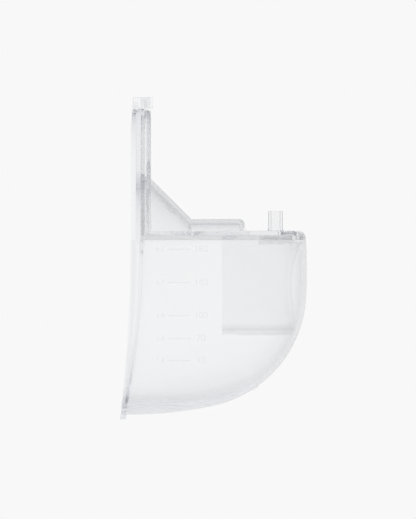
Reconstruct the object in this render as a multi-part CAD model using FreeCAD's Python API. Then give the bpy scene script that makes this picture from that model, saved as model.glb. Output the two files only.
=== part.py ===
import FreeCAD, Part
import math
import os

# A clear milk collector for a wearable breast pump: a bowl with an egg-shaped
# rear frame, an L-shaped upper cover over a silicone gasket, a vacuum chamber
# under the deck, a backflow guard under the tube port and a stopper on the spout.
# Millimetres. The origin is the centre of the breast shield opening, +X points
# away from the wearer, +Z is up and the cup is symmetric about the XZ plane.

os.makedirs("parts", exist_ok=True)
V = FreeCAD.Vector
X_AXIS = V(1, 0, 0)
Z_AXIS = V(0, 0, 1)
ORIGIN = V(0, 0, 0)

# Walls
WALL = 1.6
FAR = 200.0                 # larger than the cup, for cutting tools
BELOW = -60.0               # lower than the cup
ABOVE_DECK = 25.0
OPENING_CUT = (-20.0, 12.0)  # from behind the frame to inside the bowl

# Bowl, seen from the side: three tangent arcs from its lowest point to the nose
BOWL_REACH = 65.1
BOWL_LOW = -48.7
BOWL_HALF_WIDTH = 48.5
WIDEST_Z = 4.8
BELLY_R = 144.5
CORNER_R = 43.4
FRONT_R = 215.7
SHOULDER_Z = 16.7
NOSE_X = 61.6
NOSE_BACK = 61.1            # rear face of the nose, just in front of the cover
NOSE_BULGE = 0.72           # how far the nose's round bulges towards its outer corner
SEAT_LOW = 15.1             # underside of the ledge that the gasket sits on
SQUEEZE = BOWL_HALF_WIDTH / BOWL_REACH

# Seam between bowl and cover: gasket on the rim, cover on the gasket
SEAM_Z = 15.8
GASKET = 1.8                # thickness of the level part
UPRIGHT_GASKET = 1.2
GASKET_WIDTH = 2.4
FRONT_RUN = 1.3             # width of the gasket's straight run behind the nose
FRONT_RUN_HALF = 13.8
RIM_INSET = 0.4
DECK_LOW = SEAM_Z + GASKET
DECK_TOP = 19.0
PAD_TOP = 19.3
PAD_X = 33.7
DECK_FRONT = 61.0

# Rear frame and the dished back of the bowl
FRAME_INSET = -1.8          # the frame's outline stands outside the bowl's
FRAME_HIGH = 64.5
FRAME_WALL = 1.7
SKIRT_BEND = 560.0          # side-view radius of the skirt's rear edge
BACK_PLATE_X = 2.0          # rear face of the upper back plate
BACK_PLATE = 1.8
TOP_BEND = 45.0             # side-view radius of the skirt's rear edge near its top
TOP_BEND_Z = 56.0
BACK_WALL_X = 3.5           # rear face of the bowl's back wall at the seam
BACK_WALL = 1.2
BACK_BEND = 310.0           # side-view radius of the dished back wall
BOWL_EDGE = 0.3             # how far the bowl's rear edge stands inside the skirt
BOND = 0.08                 # glue line between bonded mouldings
OPENING_R = 38.0

# Upper cover
COVER_INSET = 1.5
COVER_HIGH = 64.4
GASKET_X = BACK_PLATE_X + BACK_PLATE
COVER_BACK = GASKET_X + UPRIGHT_GASKET
COVER_FRONT = 7.4
COVER_EDGE = 1.3            # rounding of the front plate's edge
CONE_R = 38.7
HOOD_R = 23.7
HOOD_FRONT = 42.1
HOOD_ROUND = 1.9
HOOD_ROUND_INSIDE = 0.3
HOOD_ROOT = 1.2             # fillet where the hood's front meets the deck
HOOD_ROOT_HALF = 12.5

# Pour spout and its stopper
SPOUT_HALF = 7.0
SPOUT_BACK = 3.7
SPOUT_FRONT = 7.1
SPOUT_WALL = 1.1
SPOUT_TOP = 68.1
TONGUE_HALF = 4.5
TONGUE_LOW = 62.9
TONGUE_TOP = 66.4
TONGUE_X = (0.1, 2.4)
TONGUE_ROUND = 1.4
STOPPER_X = (0.7, 8.05)
STOPPER_Z = (64.7, 68.6)
STOPPER_HALF = 8.4
STOPPER_PLAY = 0.08

# Vacuum chamber
CHAMBER_R = 19.3
CHAMBER_REAR = 33.7
SPIGOT_END = 40.2           # just behind the hood's front wall
SPIGOT_R = 19.05            # slightly slimmer than the chamber, for the sleeve
ROOF_TOP = SEAM_Z           # the gasket's front run sits on it
ROOF_LOW = 14.1

# Backflow guard under the tube port
PORT_X = 53.5
PORT_HOLE_R = 5.3
PORT_CAP_R = 5.2
PORT_CAP_LOW = 17.7
CAP_RECESS = 0.6
CAP_RECESS_R = 3.5
GROOVE_HALF = 0.45
GROOVE_DEPTH = 0.7
HOUSING_R = 6.0
HOUSING_BORE_R = 5.2
HOUSING_LOW = 14.3
HOUSING_FLOOR = 0.7
HOUSING_HOLES = (6, 3.2, 0.7)   # how many, pitch radius, radius
ROOF_HOLE_R = 6.3
MEMBRANE_R = 5.0
MEMBRANE_LOW = 16.1
MEMBRANE_THICK = 0.5
BEAD_R = 0.35
BEAD_PITCH_R = 3.4
SEAL_WIRE_R = 0.38
SEAL_PLAY = 0.02
SEAL_Z = 18.4
NIPPLE_R = 2.7
NIPPLE_BORE_R = 1.8
NIPPLE_TOP = 26.6
NIPPLE_LIP = 0.3
NIPPLE_ROOT = 0.8


def box(x0, x1, y0, y1, z0, z1):
    return Part.makeBox(x1 - x0, y1 - y0, z1 - z0, V(x0, y0, z0))


def upright_rod(radius, x, z0, z1, y=0.0):
    return Part.makeCylinder(radius, z1 - z0, V(x, y, z0), Z_AXIS)


def level_rod(radius, x0, x1):
    return Part.makeCylinder(radius, x1 - x0, V(x0, 0, 0), X_AXIS)


def line(a, b):
    return Part.LineSegment(a, b).toShape()


def arc(a, middle, b):
    return Part.Arc(a, middle, b).toShape()


def corner_centre():
    """Centre of the corner arc, which touches the belly arc and the front arc."""
    belly = V(0, 0, BOWL_LOW + BELLY_R)
    front = V(BOWL_REACH - FRONT_R, 0, WIDEST_Z)
    apart = front.sub(belly)
    from_belly = BELLY_R - CORNER_R
    from_front = FRONT_R - CORNER_R
    along = (from_belly ** 2 - from_front ** 2 + apart.Length ** 2) / (2 * apart.Length)
    off = math.sqrt(from_belly ** 2 - along ** 2)
    unit = V(apart).normalize()
    return belly.add(unit * along).add(V(-unit.z, 0, unit.x) * off)


def wall_arcs(inset, top_z):
    """The bowl's outline as three arcs of three (across, height) points, drawn in by inset."""
    belly = V(0, 0, BOWL_LOW + BELLY_R)
    front = V(BOWL_REACH - FRONT_R, 0, WIDEST_Z)
    corner = corner_centre()
    to_corner = math.atan2(corner.z - belly.z, corner.x - belly.x)
    to_front = math.atan2(corner.z - front.z, corner.x - front.x)
    to_top = math.asin((top_z - WIDEST_Z) / (FRONT_R - inset))
    stretches = [
        (belly, BELLY_R - inset, -0.5 * math.pi, to_corner),
        (corner, CORNER_R - inset, to_corner, to_front),
        (front, FRONT_R - inset, to_front, to_top),
    ]
    arcs = []
    for centre, radius, start, end in stretches:
        turns = (start, 0.5 * (start + end), end)
        arcs.append([(centre.x + radius * math.cos(t), centre.z + radius * math.sin(t)) for t in turns])
    return arcs


def side_edges(inset, top_z):
    return [arc(*[V(-across, 0, z) for across, z in points]) for points in wall_arcs(inset, top_z)]


def rim_reach(inset, z):
    """How far forward the bowl's wall stands at height z."""
    return wall_arcs(inset, z)[-1][-1][0]


def squeezed(shape):
    squeeze = FreeCAD.Matrix()
    squeeze.scale(V(1, SQUEEZE, 1))
    return shape.transformGeometry(squeeze)


def bowl_shaped(edges):
    """Turn a side-view profile about the upright axis and squeeze it to the bowl's width."""
    face = Part.Face(Part.Wire(Part.__sortEdges__(edges)))
    return squeezed(face.revolve(ORIGIN, Z_AXIS, 360))


def bowl_filling(inset, top_z):
    """The solid that fills the bowl up to top_z, drawn in by inset."""
    floor = V(0, 0, BOWL_LOW + inset)
    centre = V(0, 0, top_z)
    rim = V(-rim_reach(inset, top_z), 0, top_z)
    return bowl_shaped(side_edges(inset, top_z) + [line(rim, centre), line(centre, floor)])


def egg_wire(inset, high, x):
    """Egg-shaped outline across the cup at x: the bowl's, with an ellipse above the seam."""
    edges = []
    reach = BOWL_REACH - inset
    lower = wall_arcs(inset, WIDEST_Z)
    for side in (1, -1):
        edges += [arc(*[V(x, side * across, z) for across, z in points]) for points in lower]
        edges.append(line(V(x, side * reach, WIDEST_Z), V(x, side * reach, SEAM_Z)))
    wire = squeezed(Part.Wire(Part.__sortEdges__(edges)))
    height = high - SEAM_Z
    ends = (V(x, reach * SQUEEZE, SEAM_Z), V(x, 0, high))
    if height < reach * SQUEEZE:
        top = Part.Ellipse(ends[0], ends[1], V(x, 0, SEAM_Z))
    else:
        top = Part.Ellipse(ends[1], ends[0], V(x, 0, SEAM_Z))
    start = top.parameter(ends[0])
    end = top.parameter(V(x, -reach * SQUEEZE, SEAM_Z))
    middle = top.value(0.5 * (start + end))
    curve = Part.ArcOfEllipse(top, start, end) if middle.z > SEAM_Z else Part.ArcOfEllipse(top, end, start)
    return Part.Wire(Part.__sortEdges__(wire.Edges + [curve.toShape()]))


def ring_face(outer, inner):
    return Part.makeFace([outer, inner], "Part::FaceMakerBullseye")


def egg_ring(inset, high, wall, x0, x1):
    inner = egg_wire(inset + wall, high - wall, x0)
    return ring_face(egg_wire(inset, high, x0), inner).extrude(V(x1 - x0, 0, 0))


def egg_plate(inset, high, x0, x1):
    return Part.Face(egg_wire(inset, high, x0)).extrude(V(x1 - x0, 0, 0))


def plan_wire(inset, z):
    """Outline of the bowl's rim seen from above, drawn in by inset."""
    reach = rim_reach(0, SEAM_Z) - inset
    return Part.Wire(Part.Ellipse(V(reach, 0, z), V(0, reach * SQUEEZE, z), V(0, 0, z)).toShape())


def bent_slab(rear_x, front_x, bend, top, low):
    """A slab across the cup, upright above the seam and curving rearwards below it."""
    drop = SEAM_Z - low
    sag = bend - math.sqrt(bend ** 2 - drop ** 2)
    mid_sag = bend - math.sqrt(bend ** 2 - (0.5 * drop) ** 2)
    mid_z = SEAM_Z - 0.5 * drop
    edges = [
        line(V(rear_x, -FAR, top), V(rear_x, -FAR, SEAM_Z)),
        arc(V(rear_x, -FAR, SEAM_Z), V(rear_x - mid_sag, -FAR, mid_z), V(rear_x - sag, -FAR, low)),
        line(V(rear_x - sag, -FAR, low), V(front_x - sag, -FAR, low)),
        arc(V(front_x - sag, -FAR, low), V(front_x - mid_sag, -FAR, mid_z), V(front_x, -FAR, SEAM_Z)),
        line(V(front_x, -FAR, SEAM_Z), V(front_x, -FAR, top)),
        line(V(front_x, -FAR, top), V(rear_x, -FAR, top)),
    ]
    return Part.Face(Part.Wire(edges)).extrude(V(0, 2 * FAR, 0))


def milk_bowl():
    """Thin bowl open at the rear, with a seat for the gasket and a solid nose."""
    shoulder = V(-rim_reach(0, SHOULDER_Z), 0, SHOULDER_Z)
    nose = V(-NOSE_X, 0, PAD_TOP)
    across = NOSE_BULGE * (shoulder.x - nose.x)
    drop = (1 - NOSE_BULGE) * (shoulder.z - nose.z)
    nose_middle = V(nose.x + across, 0, nose.z + drop)
    nose_back = V(-NOSE_BACK, 0, PAD_TOP)
    seat = V(-NOSE_BACK, 0, SEAT_LOW)
    inner_top = V(-rim_reach(WALL, SEAT_LOW), 0, SEAT_LOW)
    floor_out = V(0, 0, BOWL_LOW)
    floor_in = V(0, 0, BOWL_LOW + WALL)
    edges = side_edges(0, SHOULDER_Z) + side_edges(WALL, SEAT_LOW)
    edges += [arc(shoulder, nose_middle, nose), line(nose, nose_back), line(nose_back, seat)]
    edges += [line(seat, inner_top), line(floor_in, floor_out)]
    bowl = bowl_shaped(edges)
    bowl = bowl.cut(box(-FAR, NOSE_BACK, -FAR, FAR, SEAM_Z, FAR))
    return bowl.common(bent_slab(BOWL_EDGE, FAR, SKIRT_BEND, FAR, BELOW))


def back_panel():
    """Dished panel that closes the bowl's rear round the lower half of the opening."""
    filling = bowl_filling(WALL + BOND, SEAM_Z)
    panel = filling.common(bent_slab(BACK_WALL_X, BACK_WALL_X + BACK_WALL, BACK_BEND, FAR, BELOW))
    inside_ledge = NOSE_BACK * SQUEEZE - BOND
    panel = panel.cut(level_rod(OPENING_R, *OPENING_CUT))
    for side in (1, -1):
        near = side * inside_ledge
        far = side * FAR
        panel = panel.cut(box(-10, 10, min(near, far), max(near, far), SEAT_LOW - BOND, FAR))
    return panel


def behind_top():
    """What the skirt's rear edge loses near its top, where it curves forward."""
    rise = FRAME_HIGH + 2 - TOP_BEND_Z
    lean = TOP_BEND - math.sqrt(TOP_BEND ** 2 - rise ** 2)
    half_lean = TOP_BEND - math.sqrt(TOP_BEND ** 2 - (0.5 * rise) ** 2)
    start = V(0, -FAR, TOP_BEND_Z)
    end = V(lean, -FAR, TOP_BEND_Z + rise)
    corner = V(-10, -FAR, TOP_BEND_Z + rise)
    low_corner = V(-10, -FAR, TOP_BEND_Z)
    edges = [arc(start, V(half_lean, -FAR, TOP_BEND_Z + 0.5 * rise), end)]
    edges += [line(end, corner), line(corner, low_corner), line(low_corner, start)]
    return Part.Face(Part.Wire(edges)).extrude(V(0, 2 * FAR, 0))


def rear_frame():
    """Skirt that the breast shield's edge lies in, with a flat plate above the bowl."""
    skirt = egg_ring(FRAME_INSET, FRAME_HIGH, FRAME_WALL, -10, BACK_PLATE_X)
    skirt = skirt.common(bent_slab(0, BACK_PLATE_X, SKIRT_BEND, FAR, BELOW))
    skirt = skirt.cut(behind_top())
    plate = egg_plate(FRAME_INSET, FRAME_HIGH, BACK_PLATE_X, GASKET_X)
    plate = plate.common(box(0, 10, -FAR, FAR, SEAM_Z, FAR)).cut(level_rod(OPENING_R, *OPENING_CUT))
    tongue = box(TONGUE_X[0], TONGUE_X[1], -TONGUE_HALF, TONGUE_HALF, TONGUE_LOW, TONGUE_TOP)
    rear = [e for e in tongue.Edges if e.BoundBox.XMax < TONGUE_X[0] + 0.01]
    tongue = tongue.makeFillet(TONGUE_ROUND, [e for e in rear if e.BoundBox.ZMin > TONGUE_TOP - 0.01])
    return skirt.fuse([plate, tongue])


def cover_gasket():
    """One loop: along the bowl's rim, up round the cover and round the opening."""
    x0 = GASKET_X
    level = ring_face(plan_wire(RIM_INSET, SEAM_Z), plan_wire(RIM_INSET + GASKET_WIDTH, SEAM_Z))
    level = level.extrude(V(0, 0, GASKET)).common(box(x0, DECK_FRONT, -FAR, FAR, 0, FAR))
    front = box(DECK_FRONT - FRONT_RUN, DECK_FRONT, -FRONT_RUN_HALF, FRONT_RUN_HALF, SEAM_Z, DECK_LOW)
    loop = egg_ring(COVER_INSET, COVER_HIGH, GASKET_WIDTH, x0, COVER_BACK)
    collar = level_rod(OPENING_R + GASKET_WIDTH, x0, COVER_BACK)
    collar = collar.cut(level_rod(OPENING_R, x0 - 1, COVER_BACK + 1))
    above = box(x0, COVER_BACK, -FAR, FAR, SEAM_Z, FAR)
    upright = loop.common(above).fuse(collar.common(above))
    outside = (BOWL_REACH - COVER_INSET) * SQUEEZE - 1
    ties = [box(x0, COVER_BACK, OPENING_R - 3, outside, SEAM_Z, DECK_LOW),
            box(x0, COVER_BACK, -outside, 3 - OPENING_R, SEAM_Z, DECK_LOW)]
    return upright.fuse(ties + [level, front])


def cone_and_hood(skin):
    """Half cone and half hood over the breast shield; skin is 0 outside, WALL inside."""
    slant = skin * math.sqrt(2)
    hood_r = HOOD_R - skin
    front = HOOD_FRONT - skin
    collar_r = OPENING_R + WALL - skin
    cone_start = COVER_FRONT - (collar_r - (CONE_R - slant))
    cone_end = cone_start + collar_r - hood_r
    rounding = HOOD_ROUND_INSIDE if skin else HOOD_ROUND
    edge = rounding * (1 - math.sqrt(0.5))
    corners = [V(BACK_PLATE_X, 0, 0), V(BACK_PLATE_X, 0, collar_r), V(cone_start, 0, collar_r)]
    corners += [V(cone_end, 0, hood_r), V(front - rounding, 0, hood_r)]
    edges = [line(a, b) for a, b in zip(corners, corners[1:])]
    end = V(front, 0, hood_r - rounding)
    edges.append(arc(corners[-1], V(front - edge, 0, hood_r - edge), end))
    edges.append(line(end, V(front, 0, 0)))
    edges.append(line(V(front, 0, 0), corners[0]))
    return Part.Face(Part.Wire(edges)).revolve(ORIGIN, X_AXIS, 360)


def front_tray():
    """The upright part of the cover: a shallow duct that leads milk to the spout."""
    plate_x = COVER_FRONT - WALL
    wall = egg_ring(COVER_INSET, COVER_HIGH, WALL, COVER_BACK, plate_x)
    plate = egg_plate(COVER_INSET, COVER_HIGH, plate_x, COVER_FRONT)
    rim = [e for e in plate.Edges if e.BoundBox.XMin > COVER_FRONT - 0.01]
    plate = plate.makeFillet(COVER_EDGE, rim)
    above = box(0, FAR, -FAR, FAR, DECK_LOW, FAR)
    return wall.common(above).fuse(plate.common(above))


def spout():
    body = box(COVER_BACK, SPOUT_FRONT, -SPOUT_HALF, SPOUT_HALF, COVER_HIGH - 3, SPOUT_TOP)
    lip = box(SPOUT_BACK, COVER_BACK, -SPOUT_HALF, SPOUT_HALF, COVER_HIGH + 0.1, SPOUT_TOP)
    return body.fuse(lip)


def hood_root():
    """Straight concave fillet in front of the hood, on the deck's pad."""
    r = HOOD_ROOT
    y = -HOOD_ROOT_HALF
    foot = V(HOOD_FRONT + r, y, PAD_TOP)
    top = V(HOOD_FRONT, y, PAD_TOP + r)
    hollow = r * (1 - math.sqrt(0.5))
    curve = arc(foot, V(HOOD_FRONT + hollow, y, PAD_TOP + hollow), top)
    inside = V(HOOD_FRONT - 0.5, y, PAD_TOP - 0.5)
    edges = [curve, line(top, V(inside.x, y, top.z)), line(V(inside.x, y, top.z), inside)]
    edges += [line(inside, V(foot.x, y, inside.z)), line(V(foot.x, y, inside.z), foot)]
    return Part.Face(Part.Wire(edges)).extrude(V(0, 2 * HOOD_ROOT_HALF, 0))


def upper_cover():
    deck = Part.Face(plan_wire(RIM_INSET, DECK_LOW)).extrude(V(0, 0, DECK_TOP - DECK_LOW))
    deck = deck.common(box(COVER_BACK, DECK_FRONT, -FAR, FAR, 0, FAR))
    pad = Part.Face(plan_wire(RIM_INSET + WALL, DECK_LOW)).extrude(V(0, 0, PAD_TOP - DECK_LOW))
    pad = pad.common(box(PAD_X, DECK_FRONT - 0.4, -FAR, FAR, 0, FAR))
    hood = cone_and_hood(0).common(box(COVER_BACK, FAR, -FAR, FAR, DECK_LOW, FAR))
    cover = front_tray().fuse([spout(), deck, pad, hood, hood_root()]).cut(cone_and_hood(WALL))
    duct_x = (COVER_BACK, COVER_FRONT - WALL)
    bore_half = SPOUT_HALF - SPOUT_WALL
    bore = box(duct_x[0], SPOUT_FRONT - SPOUT_WALL, -bore_half, bore_half, COVER_HIGH - 1, FAR)
    bore = bore.fuse(box(duct_x[0], duct_x[1], -bore_half, bore_half, COVER_HIGH - 4, COVER_HIGH - 1))
    collar_r = OPENING_R + WALL
    slot_half = (BOWL_REACH - COVER_INSET - WALL) * SQUEEZE - 0.3
    slots = box(duct_x[0], duct_x[1], -slot_half, slot_half, DECK_LOW - 1, PAD_TOP)
    slots = slots.cut(level_rod(collar_r, duct_x[0], duct_x[1]))
    return cover.cut([bore, slots, upright_rod(PORT_HOLE_R, PORT_X, DECK_LOW - 1, PAD_TOP + 1)])


def vacuum_chamber():
    """Level cylinder with a flat roof, open at the rear, bonded to the bowl's front wall."""
    outside = level_rod(CHAMBER_R, SPIGOT_END, BOWL_REACH).common(bowl_filling(WALL + BOND, ABOVE_DECK))
    outside = outside.cut(box(SPIGOT_END, FAR, -FAR, FAR, ROOF_TOP, FAR))
    within_seat = plan_wire(rim_reach(0, SEAM_Z) - NOSE_BACK + BOND, SEAT_LOW - BOND)
    ledge = box(SPIGOT_END, FAR, -FAR, FAR, SEAT_LOW - BOND, ROOF_TOP)
    outside = outside.cut(ledge.cut(Part.Face(within_seat).extrude(V(0, 0, ROOF_TOP))))
    outside = outside.fuse(level_rod(SPIGOT_R, CHAMBER_REAR, SPIGOT_END))
    inside = level_rod(CHAMBER_R - WALL, CHAMBER_REAR - 1, BOWL_REACH)
    roof = box(CHAMBER_REAR, FAR, -FAR, FAR, ROOF_LOW, ROOF_TOP)
    end_wall = box(SPIGOT_END - WALL, SPIGOT_END, -FAR, FAR, ROOF_LOW, FAR)
    chamber = outside.cut(inside.cut([roof, end_wall]))
    return chamber.cut(upright_rod(ROOF_HOLE_R, PORT_X, ROOF_LOW - 1, ROOF_TOP + 1))


def membrane_housing():
    """Shallow cup under the deck with air holes in its floor."""
    body = upright_rod(HOUSING_R, PORT_X, HOUSING_LOW, DECK_LOW)
    body = body.cut(upright_rod(HOUSING_BORE_R, PORT_X, HOUSING_LOW + HOUSING_FLOOR, FAR))
    count, pitch_r, hole_r = HOUSING_HOLES
    for i in range(count):
        turn = 2 * math.pi * i / count
        x = PORT_X + pitch_r * math.cos(turn)
        body = body.cut(upright_rod(hole_r, x, 0, FAR, pitch_r * math.sin(turn)))
    return body


def backflow_membrane():
    disc = upright_rod(MEMBRANE_R, PORT_X, MEMBRANE_LOW, MEMBRANE_LOW + MEMBRANE_THICK)
    bead = Part.makeTorus(BEAD_PITCH_R, BEAD_R, V(PORT_X, 0, MEMBRANE_LOW + MEMBRANE_THICK), Z_AXIS)
    return disc.fuse(bead)


def nipple():
    """Tube nipple with a flared root and a rounded lip, before boring."""
    root = NIPPLE_ROOT
    lip = NIPPLE_LIP
    hollow = root * (1 - math.sqrt(0.5))
    bulge = lip * (1 - math.sqrt(0.5))
    foot = V(NIPPLE_R + root, 0, PAD_TOP)
    wall_low = V(NIPPLE_R, 0, PAD_TOP + root)
    wall_high = V(NIPPLE_R, 0, NIPPLE_TOP - lip)
    top = V(NIPPLE_R - lip, 0, NIPPLE_TOP)
    axis_top = V(0, 0, NIPPLE_TOP)
    axis_low = V(0, 0, PORT_CAP_LOW + CAP_RECESS)
    foot_low = V(foot.x, 0, axis_low.z)
    edges = [arc(foot, V(NIPPLE_R + hollow, 0, PAD_TOP + hollow), wall_low), line(wall_low, wall_high)]
    edges.append(arc(wall_high, V(NIPPLE_R - bulge, 0, NIPPLE_TOP - bulge), top))
    edges += [line(top, axis_top), line(axis_top, axis_low), line(axis_low, foot_low), line(foot_low, foot)]
    turned = Part.Face(Part.Wire(edges)).revolve(ORIGIN, Z_AXIS, 360)
    turned.translate(V(PORT_X, 0, 0))
    return turned


def port_cap():
    plate = upright_rod(PORT_CAP_R, PORT_X, PORT_CAP_LOW, PAD_TOP)
    groove = upright_rod(PORT_CAP_R + 1, PORT_X, SEAL_Z - GROOVE_HALF, SEAL_Z + GROOVE_HALF)
    groove = groove.cut(upright_rod(PORT_CAP_R - GROOVE_DEPTH, PORT_X, 0, FAR))
    cap = plate.cut(groove).cut(upright_rod(CAP_RECESS_R, PORT_X, 0, PORT_CAP_LOW + CAP_RECESS))
    return cap.fuse(nipple()).cut(upright_rod(NIPPLE_BORE_R, PORT_X, 0, FAR))


def port_cap_seal():
    centre_r = PORT_HOLE_R - SEAL_PLAY - SEAL_WIRE_R
    return Part.makeTorus(centre_r, SEAL_WIRE_R, V(PORT_X, 0, SEAL_Z), Z_AXIS)


def spout_stopper():
    block = box(STOPPER_X[0], STOPPER_X[1], -STOPPER_HALF, STOPPER_HALF, STOPPER_Z[0], STOPPER_Z[1])
    upright = [e for e in block.Edges if e.BoundBox.ZLength > 1]
    block = block.makeFillet(1.0, upright)
    play = STOPPER_PLAY
    pocket_half = SPOUT_HALF + play
    pocket = box(SPOUT_BACK - play, SPOUT_FRONT + play, -pocket_half, pocket_half, 0, SPOUT_TOP + play)
    bore_x = (COVER_BACK + play, SPOUT_FRONT - SPOUT_WALL - play)
    bore_half = SPOUT_HALF - SPOUT_WALL - play
    plug = box(bore_x[0], bore_x[1], -bore_half, bore_half, STOPPER_Z[0] + 0.4, SPOUT_TOP + 0.2)
    slot = box(-1, TONGUE_X[1] + 0.3, -TONGUE_HALF - 0.4, TONGUE_HALF + 0.4, 0, TONGUE_TOP + 0.3)
    return block.cut(pocket).fuse(plug).cut(slot)


NODES = {
    "milk_bowl": milk_bowl,
    "back_panel": back_panel,
    "rear_frame": rear_frame,
    "upper_cover": upper_cover,
    "cover_gasket": cover_gasket,
    "vacuum_chamber": vacuum_chamber,
    "membrane_housing": membrane_housing,
    "backflow_membrane": backflow_membrane,
    "port_cap": port_cap,
    "port_cap_seal": port_cap_seal,
    "spout_stopper": spout_stopper,
}

for name, build in NODES.items():
    shape = build().removeSplitter()
    solids = len(shape.Solids)
    print(f"{name}: {solids} solid(s), {shape.Volume / 1000:.2f} cm3, valid {shape.isValid()}")
    shape.exportStep(f"parts/{name}.step")
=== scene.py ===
import math

import bmesh
import bpy
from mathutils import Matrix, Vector
from mathutils.bvhtree import BVHTree


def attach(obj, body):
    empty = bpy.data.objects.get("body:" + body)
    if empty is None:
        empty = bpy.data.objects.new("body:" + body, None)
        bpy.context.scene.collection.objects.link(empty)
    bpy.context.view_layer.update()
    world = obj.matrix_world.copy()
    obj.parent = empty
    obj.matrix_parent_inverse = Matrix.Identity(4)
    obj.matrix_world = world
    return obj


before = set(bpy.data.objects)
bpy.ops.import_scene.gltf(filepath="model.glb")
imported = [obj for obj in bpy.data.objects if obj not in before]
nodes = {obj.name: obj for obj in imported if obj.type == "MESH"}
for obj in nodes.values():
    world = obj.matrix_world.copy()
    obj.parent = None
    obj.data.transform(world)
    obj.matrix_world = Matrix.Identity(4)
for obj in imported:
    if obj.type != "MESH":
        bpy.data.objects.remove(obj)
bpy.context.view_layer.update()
scene = bpy.context.scene

# ---------------------------------------------------------------- camera
LENS = 1000.0
SENSOR = 36.0
VIEW_HEIGHT = 0.192          # what the frame's height covers at the cup's middle plane
VIEW_CENTRE = (0.0285, 0.0087)
CLIP = (0.01, 50)
BOUNCES = 40                 # light crosses many clear walls, seen from the side

camera_data = bpy.data.cameras.new("camera")
camera_data.lens = LENS
camera_data.sensor_width = SENSOR
camera_data.sensor_fit = "AUTO"
camera = bpy.data.objects.new("camera", camera_data)
scene.collection.objects.link(camera)
distance = VIEW_HEIGHT * LENS / SENSOR
camera.location = (VIEW_CENTRE[0], -distance, VIEW_CENTRE[1])
camera.rotation_euler = (math.pi / 2, 0, 0)
camera_data.clip_start, camera_data.clip_end = CLIP
scene.camera = camera

scene.view_settings.view_transform = "Standard"
scene.view_settings.look = "None"
cycles = scene.cycles
cycles.max_bounces = BOUNCES
cycles.glossy_bounces = BOUNCES
cycles.transmission_bounces = BOUNCES
cycles.transparent_max_bounces = BOUNCES

# ---------------------------------------------------------------- node helpers
def new_material(name):
    material = bpy.data.materials.new(name)
    material.use_nodes = True
    tree = material.node_tree
    tree.nodes.clear()
    return material, tree


def noise(tree, coords, scale, detail=3.0, roughness=0.5):
    node = tree.nodes.new("ShaderNodeTexNoise")
    node.inputs["Scale"].default_value = scale
    node.inputs["Detail"].default_value = detail
    node.inputs["Roughness"].default_value = roughness
    tree.links.new(coords, node.inputs["Vector"])
    return node.outputs["Fac"]


def remap(tree, source, low, high, from_low=0.3, from_high=0.7):
    """Stretch a span of the source, by default the one that noise fills, to low..high."""
    node = tree.nodes.new("ShaderNodeMapRange")
    node.inputs["From Min"].default_value = from_low
    node.inputs["From Max"].default_value = from_high
    node.inputs["To Min"].default_value = low
    node.inputs["To Max"].default_value = high
    tree.links.new(source, node.inputs["Value"])
    return node.outputs["Result"]


def tint_between(tree, shader, low, high, factor):
    """Base colour that goes from low to high as the factor goes from 0 to 1."""
    mix = tree.nodes.new("ShaderNodeMix")
    mix.data_type = "RGBA"
    mix.inputs["A"].default_value = (*low, 1)
    mix.inputs["B"].default_value = (*high, 1)
    tree.links.new(factor, mix.inputs["Factor"])
    tree.links.new(mix.outputs["Result"], shader.inputs["Base Color"])


def edge_on(tree):
    """0 where a surface faces the eye, 1 where it is seen on edge."""
    facing = tree.nodes.new("ShaderNodeLayerWeight")
    facing.inputs["Blend"].default_value = 0.5
    return facing.outputs["Facing"]


# ---------------------------------------------------------------- materials of the cup
CLEAR_NOISE = (30.0, 900.0)  # scales of the broad and the fine noise
FILM_NOISE = (60.0, 1500.0)
FINE_DETAIL = 2.0
RIPPLE_HEIGHT = 0.00002      # metres
RIPPLE = 0.1                 # its strength
SOFT_RIPPLE = 0.2            # and on the gasket, the membrane and the cap seal
TINT_UNEVENNESS = 0.04       # how far the broad noise moves a clear part towards its painted edge shade, at random
FILM_IOR = 1.41
FILM_TURN = (0.45, 1.0)      # between these edge-on values a film's grey grows denser: painted edge shade
ABSORB_TINT = (0.70, 0.715, 0.745, 1)
PLAIN = (0.982, 0.984, 0.988)
SMOOTH = (0.03, 0.07)


def surface(name, ior, scales, rough, ripple_strength):
    """A material with uneven gloss and a fine ripple; its tint is for the caller to add."""
    material, tree = new_material(name)
    out = tree.nodes.new("ShaderNodeOutputMaterial")
    shader = tree.nodes.new("ShaderNodeBsdfPrincipled")
    shader.inputs["IOR"].default_value = ior
    coords = tree.nodes.new("ShaderNodeTexCoord").outputs["Object"]
    broad = noise(tree, coords, scales[0])
    fine = noise(tree, coords, scales[1], FINE_DETAIL)
    tree.links.new(remap(tree, broad, *rough), shader.inputs["Roughness"])
    ripple = tree.nodes.new("ShaderNodeBump")
    ripple.inputs["Strength"].default_value = ripple_strength
    ripple.inputs["Distance"].default_value = RIPPLE_HEIGHT
    tree.links.new(fine, ripple.inputs["Height"])
    tree.links.new(ripple.outputs["Normal"], shader.inputs["Normal"])
    tree.links.new(shader.outputs["BSDF"], out.inputs["Surface"])
    return material, tree, out, shader, broad


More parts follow.
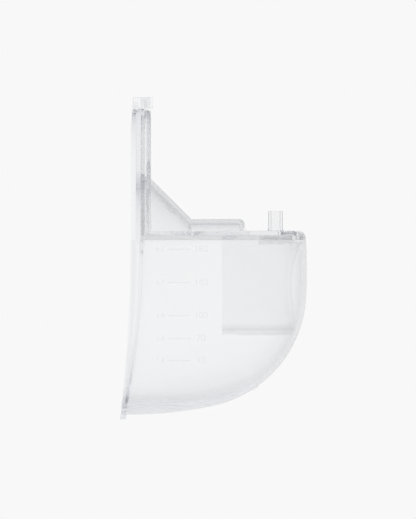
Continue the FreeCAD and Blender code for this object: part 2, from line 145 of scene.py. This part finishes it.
def clear(name, painted_edge_shade, edge_power, rough, ior, absorb):
    """Clear moulded plastic with painted shade: the base colour greys where a surface is seen on edge,
    standing in for the shade where light runs along inside a wall.
    """
    material, tree, out, shader, broad = surface(name, ior, CLEAR_NOISE, rough, RIPPLE)
    shader.inputs["Transmission Weight"].default_value = 1.0
    # painted shade: the facing curve that turns the base colour to the painted edge shade where a surface
    # is seen on edge
    power = tree.nodes.new("ShaderNodeMath")
    power.operation = "POWER"
    power.inputs[1].default_value = edge_power
    tree.links.new(edge_on(tree), power.inputs[0])
    # the broad noise adds a little random unevenness to the painted edge shade
    uneven = tree.nodes.new("ShaderNodeMath")
    uneven.operation = "MULTIPLY_ADD"
    uneven.inputs[1].default_value = TINT_UNEVENNESS
    tree.links.new(broad, uneven.inputs[0])
    tree.links.new(power.outputs["Value"], uneven.inputs[2])
    tint_between(tree, shader, PLAIN, painted_edge_shade, uneven.outputs["Value"])
    volume = tree.nodes.new("ShaderNodeVolumeAbsorption")
    volume.inputs["Color"].default_value = ABSORB_TINT
    volume.inputs["Density"].default_value = absorb
    tree.links.new(volume.outputs["Volume"], out.inputs["Volume"])
    return material


def film(name, tint, tint2, alpha, rough, ripple_strength=RIPPLE):
    """Thin or soft clear material: see-through face on; its grey grows denser where a surface turns away, a
    painted edge shade.
    """
    material, tree, _, shader, broad = surface(name, FILM_IOR, FILM_NOISE, rough, ripple_strength)
    tint_between(tree, shader, tint, tint2, broad)
    # painted shade: the film's grey is laid on denser where the surface is seen on edge
    painted_edge_alpha = remap(tree, edge_on(tree), *alpha, *FILM_TURN)
    tree.links.new(painted_edge_alpha, shader.inputs["Alpha"])
    return material


# first colour of each clear part: its painted edge shade, the grey it turns to where seen on edge, near
# black on the cover
shell = clear("clear_shell", (0.40, 0.42, 0.46), 4.0, (0.08, 0.12), 1.32, 5.0)
cover_clear = clear("clear_cover", (0.03, 0.04, 0.07), 4.0, SMOOTH, 1.28, 5.0)
frame_clear = clear("clear_frame", (0.45, 0.47, 0.52), 3.0, SMOOTH, 1.18, 4.0)
# each film's two greys vary at random across it; laid on denser on edge, they act as painted edge shade
silicone = film("clear_silicone", (0.66, 0.67, 0.70), (0.72, 0.73, 0.76), (0.16, 0.55), (0.35, 0.5),
                SOFT_RIPPLE)
soft_clear = film("soft_clear", (0.62, 0.64, 0.68), (0.68, 0.70, 0.74), (0.05, 0.60), (0.15, 0.3))
port_clear = film("port_clear", (0.36, 0.38, 0.44), (0.42, 0.44, 0.50), (0.03, 0.95), (0.05, 0.12))
chamber_clear = film("clear_chamber", (0.70, 0.71, 0.74), (0.74, 0.75, 0.78), (0.03, 0.30), (0.1, 0.2))
relief = film("relief", (0.60, 0.61, 0.64), (0.66, 0.67, 0.70), (0.06, 0.22), (0.1, 0.2))

LOOKS = {                    # every node that isn't listed is shell
    "upper_cover": cover_clear,
    "vacuum_chamber": chamber_clear,
    "rear_frame": frame_clear,
    "back_panel": frame_clear,
    "cover_gasket": silicone,
    "backflow_membrane": silicone,
    "port_cap_seal": silicone,
    "spout_stopper": soft_clear,
    "membrane_housing": relief,
    "port_cap": port_clear,
}
for name, obj in nodes.items():
    obj.data.materials.clear()
    obj.data.materials.append(LOOKS.get(name, shell))

# ---------------------------------------------------------------- relief on the bowl
PROUD = 0.00025              # how far the scale stands out of the wall
SUNK = 0.0001                # and how far it reaches into it
SCALE_X = (0.0137, 0.0222)   # ends of each line
LINE_HALF = 0.00022
LINE_STATIONS = 14
LINE_SECTION = [(-1.0, 0.0), (-0.7, 0.75), (0.0, 1.0), (0.7, 0.75), (1.0, 0.0)]   # across, rise
MILLILITRES_X = 0.0259
OUNCES_X = 0.0110
MILLILITRES_SIZE = 0.0034
OUNCES_SIZE = 0.0028
DIGIT_RESOLUTION = 3
SCALE_ROWS = [               # height, millilitres and fluid ounces held up to it
    (-0.0284, "40", "1.4"),
    (-0.0203, "70", "2.4"),
    (-0.0119, "100", "3.4"),
    (0.0003, "140", "4.7"),
    (0.0125, "180", "6.1"),
]
GATE_X = 0.0459
GATE_RADIUS = 0.0016
GATE_HEIGHT = 0.0004
GATE_SIDES = 24
GATE_SLOPE_STEP = 0.001      # the wall's slope is taken this far to either side
GATE_PROFILE = [(1.0, -0.5), (1.0, 0.6), (0.85, 0.9), (0.6, 1.0), (0.45, 0.75)]   # shares of radius, height

bowl_mesh = bmesh.new()
bowl_mesh.from_mesh(nodes["milk_bowl"].data)
bowl_tree = BVHTree.FromBMesh(bowl_mesh)
bowl_mesh.free()


def wall_y(x, z):
    """Y of the bowl's outer side wall at this place, on the side that faces -Y."""
    hit = bowl_tree.ray_cast(Vector((x, -1.0, z)), Vector((0, 1, 0)))
    return hit[0].y


def skin(bm, rings):
    """Join each ring of vertices to the next and close both ends."""
    count = len(rings[0])
    for a, b in zip(rings, rings[1:]):
        for i in range(count):
            j = (i + 1) % count
            bm.faces.new((a[i], a[j], b[j], b[i]))
    bm.faces.new(rings[0][::-1])
    bm.faces.new(rings[-1])


def ridge(bm, x0, x1, z, half):
    """A low rounded ridge along X that follows the wall."""
    rings = []
    for i in range(LINE_STATIONS + 1):
        x = x0 + (x1 - x0) * i / LINE_STATIONS
        y = wall_y(x, z)
        ring = [bm.verts.new((x, y - PROUD * rise, z + half * across)) for across, rise in LINE_SECTION]
        ring.append(bm.verts.new((x, y + SUNK, z + half)))
        ring.append(bm.verts.new((x, y + SUNK, z - half)))
        rings.append(ring)
    skin(bm, rings)


def number(bm, text, x, z, size):
    """Raised digits centred at (x, z), wrapped onto the wall."""
    curve = bpy.data.curves.new("digits", "FONT")
    curve.body = text
    curve.size = size
    curve.align_x = "CENTER"
    curve.align_y = "CENTER"
    curve.resolution_u = DIGIT_RESOLUTION
    curve.extrude = 0.5 * (PROUD + SUNK)
    holder = bpy.data.objects.new("digits", curve)
    scene.collection.objects.link(holder)
    bpy.context.view_layer.update()
    evaluated = holder.evaluated_get(bpy.context.evaluated_depsgraph_get())
    flat = bpy.data.meshes.new_from_object(evaluated)
    middle = 0.5 * (PROUD - SUNK)
    for vertex in flat.vertices:
        tx, ty, tz = vertex.co
        vertex.co = (x + tx, wall_y(x + tx, z + ty) - middle - tz, z + ty)
    bm.from_mesh(flat)
    bpy.data.objects.remove(holder)
    bpy.data.meshes.remove(flat)
    bpy.data.curves.remove(curve)


def gate_mark(bm, x, radius, height):
    """The low round stub that a moulding gate leaves, square to the bowl's lower wall."""
    places = [Vector((x + d, 0, -1.0)) for d in (-GATE_SLOPE_STEP, 0, GATE_SLOPE_STEP)]
    behind, centre, ahead = [bowl_tree.ray_cast(place, Vector((0, 0, 1)))[0] for place in places]
    along = (ahead - behind).normalized()
    out = Vector((along.z, 0, -along.x))
    rings = []
    for share, rise in GATE_PROFILE:
        reach = radius * share
        ring = []
        for i in range(GATE_SIDES):
            turn = 2 * math.pi * i / GATE_SIDES
            offset = along * (reach * math.cos(turn)) + Vector((0, reach * math.sin(turn), 0))
            ring.append(bm.verts.new(centre + offset + out * (height * rise)))
        rings.append(ring)
    skin(bm, rings)


def piece_from(bm, name, material, body):
    bmesh.ops.recalc_face_normals(bm, faces=bm.faces)
    mesh = bpy.data.meshes.new(name)
    bm.to_mesh(mesh)
    bm.free()
    mesh.materials.append(material)
    piece = bpy.data.objects.new(name, mesh)
    scene.collection.objects.link(piece)
    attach(piece, body)


lines = bmesh.new()
digits = bmesh.new()
gate = bmesh.new()
for height, millilitres, ounces in SCALE_ROWS:
    ridge(lines, SCALE_X[0], SCALE_X[1], height, LINE_HALF)
    number(digits, millilitres, MILLILITRES_X, height, MILLILITRES_SIZE)
    number(digits, ounces, OUNCES_X, height, OUNCES_SIZE)
gate_mark(gate, GATE_X, GATE_RADIUS, GATE_HEIGHT)
piece_from(gate, "gate_mark", relief, "container")
piece_from(lines, "scale_lines", relief, "container")
piece_from(digits, "scale_numbers", relief, "container")

# ---------------------------------------------------------------- world
HORIZON = 0.939
HORIZON_GREY = (HORIZON, HORIZON, HORIZON, 1)
FAR_GREY = (0.72, 0.735, 0.765, 1)   # well above and below the horizon
SKY_STOPS = (0.12, 0.75)     # between these Z of the view direction the one goes over into the other

world = bpy.data.worlds.new("studio")
scene.world = world
world.use_nodes = True
wt = world.node_tree
wt.nodes.clear()
w_out = wt.nodes.new("ShaderNodeOutputWorld")
w_bg = wt.nodes.new("ShaderNodeBackground")
w_seen = wt.nodes.new("ShaderNodeBackground")
w_seen.inputs["Color"].default_value = HORIZON_GREY
w_coords = wt.nodes.new("ShaderNodeTexCoord")
w_split = wt.nodes.new("ShaderNodeSeparateXYZ")
wt.links.new(w_coords.outputs["Generated"], w_split.inputs["Vector"])
w_abs = wt.nodes.new("ShaderNodeMath")
w_abs.operation = "ABSOLUTE"
wt.links.new(w_split.outputs["Z"], w_abs.inputs[0])
w_ramp = wt.nodes.new("ShaderNodeValToRGB")
wt.links.new(w_abs.outputs["Value"], w_ramp.inputs["Fac"])
for stop, position, colour in zip(w_ramp.color_ramp.elements, SKY_STOPS, (HORIZON_GREY, FAR_GREY)):
    stop.position = position
    stop.color = colour
wt.links.new(w_ramp.outputs["Color"], w_bg.inputs["Color"])
w_path = wt.nodes.new("ShaderNodeLightPath")
w_mix = wt.nodes.new("ShaderNodeMixShader")
wt.links.new(w_path.outputs["Is Camera Ray"], w_mix.inputs["Fac"])
wt.links.new(w_bg.outputs["Background"], w_mix.inputs[1])
wt.links.new(w_seen.outputs["Background"], w_mix.inputs[2])
wt.links.new(w_mix.outputs["Shader"], w_out.inputs["Surface"])

# ---------------------------------------------------------------- floor
FLOOR_Z = -0.16
FLOOR_RADIUS = 8.0
FLOOR_SIDES = 96
FLOOR_GREY = (0.9, 0.9, 0.9, 1)
FLOOR_FADE = (0.25, 0.7)     # between these radii the floor goes over into the horizon's grey

floor_mesh = bpy.data.meshes.new("floor")
bm = bmesh.new()
bmesh.ops.create_circle(bm, cap_ends=True, segments=FLOOR_SIDES, radius=FLOOR_RADIUS)
bm.to_mesh(floor_mesh)
bm.free()
floor = bpy.data.objects.new("floor", floor_mesh)
floor.location = (0, 0, FLOOR_Z)
scene.collection.objects.link(floor)
floor_mat, ft = new_material("floor")
f_out = ft.nodes.new("ShaderNodeOutputMaterial")
f_diff = ft.nodes.new("ShaderNodeBsdfDiffuse")
f_diff.inputs["Color"].default_value = FLOOR_GREY
f_glow = ft.nodes.new("ShaderNodeEmission")
f_glow.inputs["Color"].default_value = HORIZON_GREY
f_len = ft.nodes.new("ShaderNodeVectorMath")
f_len.operation = "LENGTH"
f_co = ft.nodes.new("ShaderNodeTexCoord")
ft.links.new(f_co.outputs["Object"], f_len.inputs[0])
f_mix = ft.nodes.new("ShaderNodeMixShader")
ft.links.new(remap(ft, f_len.outputs["Value"], 0.0, 1.0, *FLOOR_FADE), f_mix.inputs["Fac"])
ft.links.new(f_diff.outputs["BSDF"], f_mix.inputs[1])
ft.links.new(f_glow.outputs["Emission"], f_mix.inputs[2])
ft.links.new(f_mix.outputs["Shader"], f_out.inputs["Surface"])
floor_mesh.materials.append(floor_mat)

# ---------------------------------------------------------------- light
KEY_AT = Vector((-0.2, -0.5, 1.4))
KEY_AIM = Vector((0.03, 0, 0))
KEY_SIDE = 1.6
KEY_WATTS = 14.0

key_data = bpy.data.lights.new("key", "AREA")
key_data.shape = "RECTANGLE"
key_data.size = key_data.size_y = KEY_SIDE
key_data.energy = KEY_WATTS
key = bpy.data.objects.new("key", key_data)
key.location = KEY_AT
key.rotation_euler = (KEY_AIM - KEY_AT).to_track_quat("-Z", "Y").to_euler()
key.visible_glossy = False
key.visible_transmission = False
scene.collection.objects.link(key)
